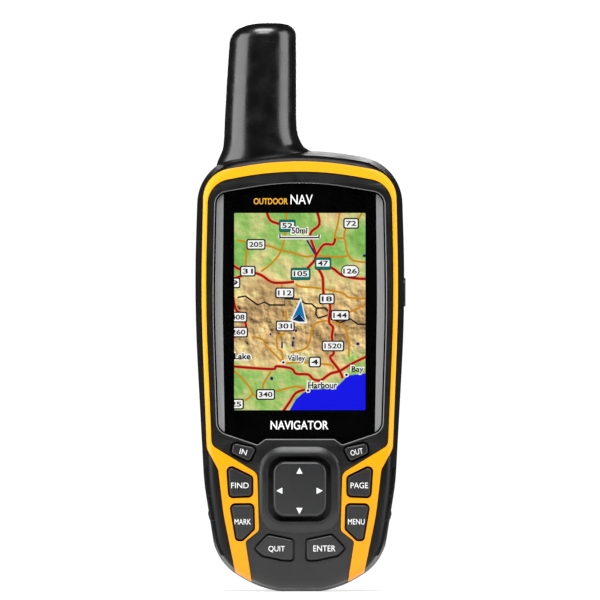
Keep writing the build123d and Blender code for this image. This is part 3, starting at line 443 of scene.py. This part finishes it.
def printed(name, shape, node, body):
    """Thin white print lying on the front of a CAD node."""
    tree = surface_of(node)
    places, faces = refined(shape)
    count = len(places)
    top = [(x, front_depth(tree, x, z, KEY_FRONT * MM) - PRINT_LIFT * MM, z) for x, z in places]
    under = [(x, y + 1.2 * PRINT_LIFT * MM, z) for x, y, z in top]
    walls = [[a, a + count, b + count, b] for a, b in outer_edges(faces)]
    solid = [list(reversed(f)) for f in faces] + [[i + count for i in f] for f in faces] + walls
    piece(name, top + under, solid, LEGEND, body)


# ---------------------------------------------------------------- antenna
# Straight tapering walls over a cove at the foot. Each ring: (height, left edge, right edge, half
# depth), in mm
ANTENNA_RINGS = [
    (117.0, -23.2, 4.2, 10.0), (120.0, -23.4, 5.2, 10.6), (121.5, -22.8, 4.9, 10.8),
    (123.0, -22.1, 4.3, 10.85), (124.0, -21.75, 2.75, 10.85), (124.9, -21.55, 1.25, 10.85),
    (126.0, -21.4, 0.4, 10.8), (128.0, -21.3, -0.45, 10.8), (130.0, -21.2, -0.85, 10.75),
    (133.0, -21.1, -0.98, 10.65), (140.0, -20.7, -1.0, 10.45), (148.0, -20.25, -1.0, 10.2),
    (155.9, -19.8, -1.05, 10.0)]
ANTENNA_Y = 1.5                                     # middle of its depth, in mm
ANTENNA_SIDES = 72
CAP_R = 3.75                                        # rounding of the top edge, in mm
CAP_STEPS = 8
CROWN = 0.12                                        # how much the flat top bulges, in mm
CAP_SLOPE_X = -9.5                                  # left of this the top slopes down
CAP_SLOPE = 0.021                                   # drop per square mm past there
CAP_SLOPE_LOW = 146                                 # height where the slope starts to act, in mm
CAP_SLOPE_RISE = 10                                 # and how far above that it acts in full
SQUARENESS = 2.3                                    # 2 is an ellipse, higher is squarer


def squared(part):
    """Sine or cosine bent so that an ellipse fills out towards its corners."""
    return math.copysign(abs(part) ** (2 / SQUARENESS), part)


def antenna_skin():
    """Lofted antenna cover: the rings, a rounded edge, and a top that slopes down to the left."""
    rings = [(z, (left + right) / 2, (right - left) / 2, depth) for z, left, right, depth in ANTENNA_RINGS]
    z0, centre, half, depth = rings[-1]
    for step in range(1, CAP_STEPS + 1):
        t = math.radians(90 * step / CAP_STEPS)
        inset = CAP_R * (1 - math.cos(t))
        rings.append((z0 + CAP_R * math.sin(t), centre, half - inset, depth - inset))
    for share in (0.7, 0.4, 0.1):
        rings.append((z0 + CAP_R + CROWN * (1 - share), centre, (half - CAP_R) * share,
                      (depth - CAP_R) * share))
    verts, faces = [], []
    for z, centre, half, depth in rings:
        sag = CAP_SLOPE * min(1, max(0, (z - CAP_SLOPE_LOW) / CAP_SLOPE_RISE))
        for k in range(ANTENNA_SIDES):
            angle = 2 * math.pi * k / ANTENNA_SIDES
            x = centre + half * squared(math.cos(angle))
            y = ANTENNA_Y + depth * squared(math.sin(angle))
            verts.append((x * MM, y * MM, (z - sag * max(0, CAP_SLOPE_X - x) ** 2) * MM))
    for r in range(len(rings) - 1):
        below, above = r * ANTENNA_SIDES, (r + 1) * ANTENNA_SIDES
        for k in range(ANTENNA_SIDES):
            n = (k + 1) % ANTENNA_SIDES
            faces.append([below + k, below + n, above + n, above + k])
    faces.append(list(reversed(range(ANTENNA_SIDES))))
    faces.append([(len(rings) - 1) * ANTENNA_SIDES + k for k in range(ANTENNA_SIDES)])
    skin = piece("antenna_skin", verts, faces, ANTENNA, "housing")
    for face in skin.data.polygons:
        face.use_smooth = True
    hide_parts("antenna_cover")


antenna_skin()


# ---------------------------------------------------------------- chamfer round the window's opening, light grey as a painted highlight
def outline_of(node):
    """Corners of a flat node's front face, in order round its edge: (x, z) in metres."""
    mesh = nodes[node].data
    low = min(v.co.y for v in mesh.vertices)
    places = [(round(v.co.x, 6), round(v.co.z, 6)) for v in mesh.vertices]
    front = [p for p in mesh.polygons if all(mesh.vertices[i].co.y < low + 0.1 * MM for i in p.vertices)]
    following = dict(outer_edges([[places[i] for i in face.vertices] for face in front]))
    start = here = next(iter(following))
    line = []
    while not line or here != start:
        line.append(here)
        here = following[here]
    return line


CHAMFER_GAP, CHAMFER_WIDTH = 0.12, 0.24             # from the inner outline, and across, in mm
CHAMFER_DROP, CHAMFER_LIFT = 0.16, 0.03             # inner edge under the plate's face, outer edge over it
CHAMFER_BURIED = 0.1                                # how much deeper its hidden back lies


def lip(name, inner, outer):
    """Narrow chamfer on the outer node, just outside the outline of the flat inner one, coloured light grey
    as a painted highlight.
    """
    tree, plate_y = surface_of(outer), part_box(outer)[0].y
    line = [Vector(p) for p in outline_of(inner)]
    area = sum(a.x * b.y - b.x * a.y for a, b in zip(line, line[1:] + line[:1]))
    side = 1 if area > 0 else -1
    far = CHAMFER_GAP + CHAMFER_WIDTH
    section = ((CHAMFER_GAP, -CHAMFER_DROP), (far, CHAMFER_LIFT), (far, -CHAMFER_DROP - CHAMFER_BURIED),
               (CHAMFER_GAP, -CHAMFER_DROP - CHAMFER_BURIED))
    verts = []
    for i, p in enumerate(line):
        before, after = (p - line[i - 1]).normalized(), (line[(i + 1) % len(line)] - p).normalized()
        along = (before + after).normalized()
        out = Vector((along.y, -along.x)) * side / max(0.5, before.dot(along))
        face_y = front_depth(tree, *(p + out * (far + 0.1) * MM), plate_y)
        for reach, lift in section:
            q = p + out * reach * MM
            verts.append((q.x, face_y - lift * MM, q.y))
    count = len(line)
    faces = []
    for i in range(count):
        this, following = 4 * i, 4 * ((i + 1) % count)
        faces += [[this + j, this + (j + 1) % 4, following + (j + 1) % 4, following + j] for j in range(4)]
    made = piece(name, verts, faces, LIP_PAINTED_HIGHLIGHT, "housing")
    outward = bmesh.new()
    outward.from_mesh(made.data)
    bmesh.ops.recalc_face_normals(outward, faces=outward.faces)
    outward.to_mesh(made.data)
    outward.free()


lip("lens_lip_painted_highlight", "lens_window", "front_bezel")

# ---------------------------------------------------------------- print on the keys
# key: (word, width, height, x, z, turn in degrees)
LEGENDS = {
    "in": ("IN", 2.0, 1.5, -15.85, 39.2, -14), "out": ("OUT", 3.5, 1.55, 15.95, 39.2, 12),
    "find": ("FIND", 4.9, 1.55, -16.8, 29.8, 0), "page": ("PAGE", 4.9, 1.6, 16.7, 29.8, 0),
    "mark": ("MARK", 4.6, 1.55, -16.0, 19.6, 0), "menu": ("MENU", 4.65, 1.55, 15.85, 19.6, 0),
    "quit": ("QUIT", 4.6, 1.8, -6.5, 11.9, 0), "enter": ("ENTER", 6.2, 1.65, 6.9, 12.1, 0),
}
for key, (word, width, height, x, z, turn) in LEGENDS.items():
    shape = lettering(word, width, height, x, z, turn=turn)
    printed(key + "_legend", shape, key + "_key", key + "_button")

# Four arrows on the rocker: half width, length and distance of the tip from the middle, in mm
ARROW_HALF, ARROW_LENGTH, ARROW_REACH = 0.88, 1.7, 6.5
ARROW_FOOT = ARROW_REACH - ARROW_LENGTH
ARROW = [(-ARROW_HALF, ARROW_FOOT), (ARROW_HALF, ARROW_FOOT), (0, ARROW_REACH)]
rocker_low, rocker_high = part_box("rocker_key")
rocker_middle = (rocker_low + rocker_high) / 2 + Vector((-0.1, 0, -0.5)) * MM
arrows = []
for turn in range(4):
    angle = math.radians(90 * turn)
    across, along = (math.cos(angle), math.sin(angle)), (-math.sin(angle), math.cos(angle))
    places = [(rocker_middle.x + (a * across[0] + b * along[0]) * MM,
               rocker_middle.z + (a * across[1] + b * along[1]) * MM) for a, b in ARROW]
    arrows.append((places, [[0, 1, 2]]))
printed("rocker_arrows", collected(arrows), "rocker_key", "rocker")

# ---------------------------------------------------------------- the lit map display
# Its place names and road numbers are made up. Places are x, z in mm
DISPLAY_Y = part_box("lcd_panel")[0].y
LAYER = 0.012 * MM
MAP_EDGE = 19.2                                     # map layers end under the mask, in mm

RED, RED_EDGE = glowing("map_red", (0.36, 0.006, 0.010)), glowing("map_red_edge", (0.85, 0.30, 0.10))
OCHRE = glowing("map_ochre", (0.60, 0.25, 0.012))
PURPLE = glowing("map_purple", (0.05, 0.01, 0.17))
SEA, LAKE = glowing("map_sea", (0.010, 0.010, 0.80)), glowing("map_lake", (0.02, 0.01, 0.16))
INK, PAPER = glowing("map_ink", (0.012, 0.012, 0.02)), glowing("map_paper", (0.95, 0.95, 0.93))
GREEN_SIGN = glowing("map_sign_green", (0.01, 0.17, 0.13))
ARROW_BLUE = glowing("map_arrow_blue", (0.01, 0.17, 0.42))
ARROW_DARK = glowing("map_arrow_dark", (0.003, 0.03, 0.10))


def smooth(points, parts=4):
    """Catmull-Rom line through the points."""
    ends = [points[0]] + points + [points[-1]]
    line = []
    for p0, p1, p2, p3 in zip(ends, ends[1:], ends[2:], ends[3:]):
        for step in range(parts):
            t = step / parts
            line.append(tuple(0.5 * (2 * b + (c - a) * t + (2 * a - 5 * b + 4 * c - d) * t * t
                                     + (3 * b - a - 3 * c + d) * t ** 3)
                              for a, b, c, d in zip(p0, p1, p2, p3)))
    return line + [points[-1]]


def ribbon(points, width):
    """Strip of even width along a line, in mm, as (places, faces) in metres."""
    line = [Vector(p) for p in points]
    places = []
    for i, p in enumerate(line):
        along = (line[min(i + 1, len(line) - 1)] - line[max(i - 1, 0)]).normalized()
        across = Vector((-along.y, along.x)) * width / 2
        places += [tuple((p + across) * MM), tuple((p - across) * MM)]
    return places, [[2 * i, 2 * i + 1, 2 * i + 3, 2 * i + 2] for i in range(len(line) - 1)]


def roads(courses, width):
    return [ribbon(smooth(course), width) for course in courses]


def rounded_plate(x, z, width, height, radius, parts=5):
    """Rounded rectangle in mm as one face, in metres."""
    corners = []
    for sx, sz, start in ((1, -1, -90), (1, 1, 0), (-1, 1, 90), (-1, -1, 180)):
        for step in range(parts + 1):
            angle = math.radians(start + 90 * step / parts)
            corners.append(((x + sx * (width / 2 - radius) + radius * math.cos(angle)) * MM,
                            (z + sz * (height / 2 - radius) + radius * math.sin(angle)) * MM))
    return corners, [list(range(len(corners)))]


def polygon(points):
    return [(x * MM, z * MM) for x, z in points], [list(range(len(points)))]


def map_layer(name, shapes, layer, finish):
    """Flat layer of the map, so many steps in front of the panel."""
    flat_piece(name, collected(shapes), DISPLAY_Y - (layer + 1) * LAYER, finish)


RED_ROADS = [
    [(-9.4, 107), (-8.4, 104.3), (-6.3, 103.3), (-4, 102.8)],
    [(4.7, 107), (5.5, 103), (2.9, 100.2), (4.5, 94.2), (2.5, 91.1), (0.5, 89.4)],
    [(4.5, 94.2), (6.7, 97.3), (9.3, 97.4), (9.9, 99.1)],
    [(6.5, 92), (9.5, 90.5), (11.9, 88.7), (15.5, 87.9), (MAP_EDGE, 87.7)],
    [(4.8, 91), (6.4, 88.2), (6.7, 83.5), (8.5, 80.4), (8.2, 75.7), (9.3, 74.1), (9, 71.5), (9.5, 66.9),
     (8.5, 65.6), (11.2, 61.9), (12, 59.8)],
    [(-MAP_EDGE, 92), (-17, 90.5), (-11.3, 89), (-8.1, 86.9), (-5.3, 86.6), (-1.6, 86.9)],
    [(-MAP_EDGE, 87.5), (-16.4, 88.6), (-15.2, 89.6)],
    [(-MAP_EDGE, 85.5), (-18, 79.3), (-16.2, 77.8), (-15.2, 73.6), (-MAP_EDGE, 71)],
    [(-MAP_EDGE, 63.2), (-7.9, 62.4), (-6.6, 63.2), (-2.4, 62.6), (-1, 61.1), (2.3, 60.9), (3.8, 59.6),
     (5.9, 59.3), (8.5, 61.1), (11.2, 61.9), (14.2, 63.7), (MAP_EDGE, 66.2)],
    [(1.5, 56.7), (-1.1, 55.7), (-2.9, 53.1), (-4.8, 50.4)],
]
OCHRE_ROADS = [
    [(11.3, 107), (10.6, 102.8), (9.9, 99.4), (12.4, 99), (12.9, 97), (13.4, 95), (15, 92.9),
     (MAP_EDGE, 92.3)],
    [(17.6, 107), (16.4, 104.6), (13, 102), (12.4, 99)],
    [(13.4, 94.2), (10.8, 93.9), (4.5, 94.2), (1.5, 94), (-2.2, 95.1), (-5.3, 95.7), (-8.9, 97),
     (-17.8, 98.6)],
    [(-3.7, 107), (-4.2, 99.9), (-5.5, 95.2), (-7.9, 92.1), (-10.9, 89.8)],
    [(-14.8, 97), (-15.3, 91)],
    [(-1.1, 86.4), (-0.1, 85.6), (5.4, 85.1), (11.9, 83.8), (13.7, 82.5), (MAP_EDGE, 82.2)],
    [(-5.2, 86.4), (-5.0, 84.4)],
    [(-13.3, 71.5), (-10.5, 70.8), (-9.4, 68.9), (-5.3, 64.8), (-4.6, 63)],
    [(-4.0, 79), (-3.9, 73.0), (-6.4, 71.6), (-6.2, 68.2), (-5.0, 67.2), (-4.9, 64.6)],
    [(-2.4, 67.1), (1.5, 68.2), (2.8, 70.2), (3.3, 73.4), (4.6, 75.4), (7.7, 76)],
    [(9.0, 75.6), (12.4, 74.4), (13.7, 70.2), (13.7, 65.8)],
    [(12.4, 77.8), (15.6, 79.1), (MAP_EDGE, 80.9)],
    [(-4.2, 64), (1.0, 64.3), (8.4, 63.6), (9.4, 62.4)],
    [(-MAP_EDGE, 62.6), (-15.7, 59.3), (-13.3, 55.7), (-15.4, 53.6)],
    [(-13.3, 55.7), (-12.2, 54.6)],
    [(-8.1, 61.7), (-10.2, 58.3), (-10.4, 56.0)],
    [(-6.6, 56.2), (-1.4, 57.5), (1.2, 57)],
]
PURPLE_ROAD = [(2.0, 98.6), (4.2, 94.8)]
BORDER = [(-17.5, 82.5), (-15.3, 82.9), (-11.8, 80.4), (-10, 81.2), (-8.4, 80.4), (-4.2, 80.4), (-4.2, 82.2),
          (-0.1, 82), (1.5, 80.8), (3.3, 80.7), (4.6, 79.6), (4.5, 77.8), (5.1, 76.7), (7.7, 77.5),
          (11.1, 75.4), (14.2, 76.5), (16.3, 75), (MAP_EDGE, 75)]
ENCLAVE = [(4.6, 79.5), (7.0, 79.6), (8.3, 78.4), (7.7, 77.5)]
COAST = [(MAP_EDGE, 61.3), (13.4, 60.6), (12.1, 59.1), (9.8, 57), (3, 56.7), (0.9, 55.7), (-1.1, 53.9),
         (-3.4, 50)]
# x, z, width and height
LAKES = [(-5.0, 69.2, 0.5, 1.9), (-2.0, 69.5, 0.6, 1.6), (-1.1, 73.2, 0.7, 0.8), (16.3, 69.5, 1.0, 0.8),
         (-7.9, 59.8, 0.9, 1.0), (-8.2, 72.2, 0.5, 0.7), (18.1, 94.2, 0.9, 0.7), (-1.7, 71.1, 0.5, 0.8)]
# x, z, number and form of each road sign
SIGNS = [(-12.3, 97.4, "205", "plate"), (-14.6, 89.9, "31", "plate"), (-4.2, 83.8, "112", "plate"),
         (7.6, 82.1, "18", "plate"), (-17.4, 77.0, "408", "plate"), (-17.2, 72.8, "260", "plate"),
         (-4.1, 74.5, "301", "plate"), (11.3, 77.5, "144", "plate"), (9.3, 68.9, "1520", "plate"),
         (4.2, 64.4, "4", "plate"), (-9.6, 55.3, "340", "plate"), (-17.9, 52.6, "25", "plate"),
         (14.4, 103.3, "72", "plate"), (-18.4, 86.6, "9", "plate"), (-3.5, 102.6, "52", "banded"),
         (6.5, 92.0, "47", "banded"), (0.2, 89.1, "105", "banded"), (14.1, 89.9, "126", "oval")]
# word, width, height, x, z
WORDS = [("Lake", 4.6, 1.75, -16.1, 66.0), ("Valley", 5.0, 2.1, -1.0, 65.3), ("Harbour", 8.2, 1.9, 6.4, 57.9),
         ("Bay", 3.4, 2.1, 16.2, 62.2), ("50mi", 4.4, 1.8, -0.1, 101.3)]
TOWNS = [(-4.6, 64.3), (2.3, 56.4), (13.1, 60.8)]
SCALE_BAR = [(-5.6, 100.2), (-5.6, 99.3), (5.4, 99.3), (5.4, 100.2)]
POSITION_EDGE = [(0.3, 82.6), (-2.7, 75.9), (-0.1, 75.2), (2.1, 75.3)]
POSITION_ARROW = [(0.3, 81.6), (-2.2, 76.3), (-0.1, 77.9), (1.6, 75.8)]
POSITION_NOTCH = [(-0.1, 77.9), (-2.1, 76.2), (-0.1, 75.7), (1.5, 75.7)]


def scale_bar(width):
    return [ribbon([a, b], width) for a, b in zip(SCALE_BAR, SCALE_BAR[1:])]


def towns(size, radius):
    return [rounded_plate(x, z, size, size, radius) for x, z in TOWNS]


map_layer("map_sea", [polygon(COAST + [(MAP_EDGE, 50)])], 0, SEA)
map_layer("map_lakes", [rounded_plate(x, z, w, h, min(w, h) * 0.45) for x, z, w, h in LAKES], 1, LAKE)
map_layer("map_border", [ribbon(BORDER, 0.5), ribbon(ENCLAVE, 0.5)], 2, INK)
map_layer("map_ochre_roads", roads(OCHRE_ROADS, 0.55), 3, OCHRE)
map_layer("map_red_edges", roads(RED_ROADS, 1.05), 4, RED_EDGE)
map_layer("map_red_roads", roads(RED_ROADS, 0.66), 5, RED)
map_layer("map_purple_road", [ribbon(PURPLE_ROAD, 0.5)], 6, PURPLE)

outlines, bands, plates, digits = [], [], [], []
for x, z, number, form in SIGNS:
    width, height = 1.75 + 0.95 * len(number), 2.3
    if form == "oval":
        outlines.append(rounded_plate(x, z, 5.2, 3.5, 1.74))
        plates.append(rounded_plate(x, z, 4.6, 2.9, 1.44))
    elif form == "banded":
        outlines.append(rounded_plate(x, z, width + 1.0, 3.5, 0.5))
        bands.append(rounded_plate(x, z, width + 0.7, 3.2, 0.4))
        plates.append(rounded_plate(x, z + 0.1, width, 1.8, 0.15))
    else:
        outlines.append(rounded_plate(x, z, width + 0.8, height + 0.75, 0.6))
        plates.append(rounded_plate(x, z, width, height, 0.35))
    rise = 0.1 if form == "banded" else 0
    digits.append(lettering(number, width - 0.75, 1.45, x, z + rise, bold=0.05))
map_layer("map_sign_outlines", outlines, 7, INK)
map_layer("map_sign_bands", bands, 8, GREEN_SIGN)
map_layer("map_sign_plates", plates, 9, PAPER)
HALO = 0.7                                          # how much wider and higher a word's pale edge is
words = [lettering(*word, bold=0.07) for word in WORDS]
halos = [lettering(word, width + HALO, height + HALO, x, z, bold=0.36) for word, width, height, x, z in WORDS]
map_layer("map_halos", halos + scale_bar(0.95) + towns(1.3, 0.6), 10, PAPER)
map_layer("map_words", digits + words + scale_bar(0.4) + towns(0.75, 0.35), 11, INK)
map_layer("map_arrow_edge", [polygon(POSITION_EDGE)], 12, PAPER)
map_layer("map_arrow", [polygon(POSITION_ARROW)], 13, ARROW_BLUE)
map_layer("map_arrow_notch", [polygon(POSITION_NOTCH)], 14, ARROW_DARK)

# ---------------------------------------------------------------- generic print between window and mask
PRINT_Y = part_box("lens_mask")[0].y - 0.02 * MM
MASK_WORDS = {
    "mask_word_bottom": (lettering("NAVIGATOR", 16.2, 2.45, -0.1, 46.7, bold=0.03), MASK_LEGEND_PAINTED_GLOW),
    "mask_word_top": (lettering("NAV", 6.2, 2.7, 0.5, 110.0), MASK_LEGEND_PAINTED_GLOW),
    "mask_word_gold": (lettering("OUTDOOR", 9.6, 1.75, -8.15, 109.5, bold=0.05), GOLD_PRINT),
}
for name, (shape, finish) in MASK_WORDS.items():
    flat_piece(name, shape, PRINT_Y, finish)

# The grey side strips lie bonded inside the window's back, so they move forward by a hair
STRIP_SHIFT = 0.03
strips = nodes["lens_side_strips"].data
side_strips = piece("side_strips", [(v.co.x, v.co.y - STRIP_SHIFT * MM, v.co.z) for v in strips.vertices],
                    [list(face.vertices) for face in strips.polygons], STRIP, "housing")
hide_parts("lens_side_strips")

# ---------------------------------------------------------------- camera, light and floor
FRAME_WIDTH = 168.6 * MM                            # width of the picture at the object
CAMERA_DISTANCE = 8.0
SENSOR = 36                                         # in the lens's own mm
camera_data = bpy.data.cameras.new("camera")
camera_data.sensor_width = SENSOR
camera_data.lens = SENSOR * CAMERA_DISTANCE / FRAME_WIDTH
camera_data.clip_end = 100
bpy.context.scene.view_settings.view_transform = "Standard"
camera = bpy.data.objects.new("camera", camera_data)
camera.location = (0.05 * MM, -CAMERA_DISTANCE, 81.8 * MM)
camera.rotation_euler = (math.radians(90), 0, 0)
bpy.context.scene.collection.objects.link(camera)
bpy.context.scene.camera = camera

MIDDLE = Vector((0, 0, 0.08))


def area_light(name, place, size, power):
    """Rectangular light of a size in metres, aimed at the middle of the object."""
    data = bpy.data.lights.new(name, "AREA")
    data.shape = "RECTANGLE"
    data.size, data.size_y = size
    data.energy = power
    lamp = bpy.data.objects.new(name, data)
    lamp.location = place
    lamp.rotation_euler = (MIDDLE - Vector(place)).to_track_quat("-Z", "Y").to_euler()
    bpy.context.scene.collection.objects.link(lamp)


area_light("overhead", (0.0, -0.50, 0.92), (0.7, 0.35), 8.5)
area_light("key_light", (0.0, -0.95, 0.78), (0.5, 0.25), 4.0)
area_light("left_box", (-0.66, -0.20, 0.10), (0.72, 1.0), 7.5)
area_light("right_box", (0.66, -0.16, 0.10), (0.52, 1.0), 5.0)
area_light("back_fill", (0.0, 1.3, 0.30), (0.35, 0.4), 3.0)

# Dark studio round the lights, so that black surfaces stay black; white where the camera looks
world = bpy.data.worlds.new("studio")
world.use_nodes = True
bpy.context.scene.world = world
soft = world.node_tree.nodes["Background"]
soft.inputs["Color"].default_value = (0.035, 0.035, 0.037, 1)
seen = put(world, "Background", Color=(1, 1, 1, 1), Strength=1.05)
choose = put(world, "MixShader")
join(world, put(world, "LightPath").outputs["Is Camera Ray"], choose.inputs["Fac"])
join(world, soft.outputs["Background"], choose.inputs[1])
join(world, seen.outputs["Background"], choose.inputs[2])
join(world, choose.outputs["Shader"], world.node_tree.nodes["World Output"].inputs["Surface"])

# Pale round floor, just under the object
FLOOR_R = 0.125
FLOOR_SIDES = 96
turns = [2 * math.pi * k / FLOOR_SIDES for k in range(FLOOR_SIDES)]
floor_mesh = bpy.data.meshes.new("floor")
floor_mesh.from_pydata([(FLOOR_R * math.cos(turn), FLOOR_R * math.sin(turn), 0) for turn in turns], [],
                       [list(range(FLOOR_SIDES))])
floor_mesh.materials.append(shader("floor", (0.9, 0.9, 0.89), 0.8, Emission_Color=(1, 1, 1, 1),
                                   Emission_Strength=0.4))
floor = bpy.data.objects.new("floor", floor_mesh)
floor.location.z = cad_low.z - 0.05 * MM
bpy.context.scene.collection.objects.link(floor)
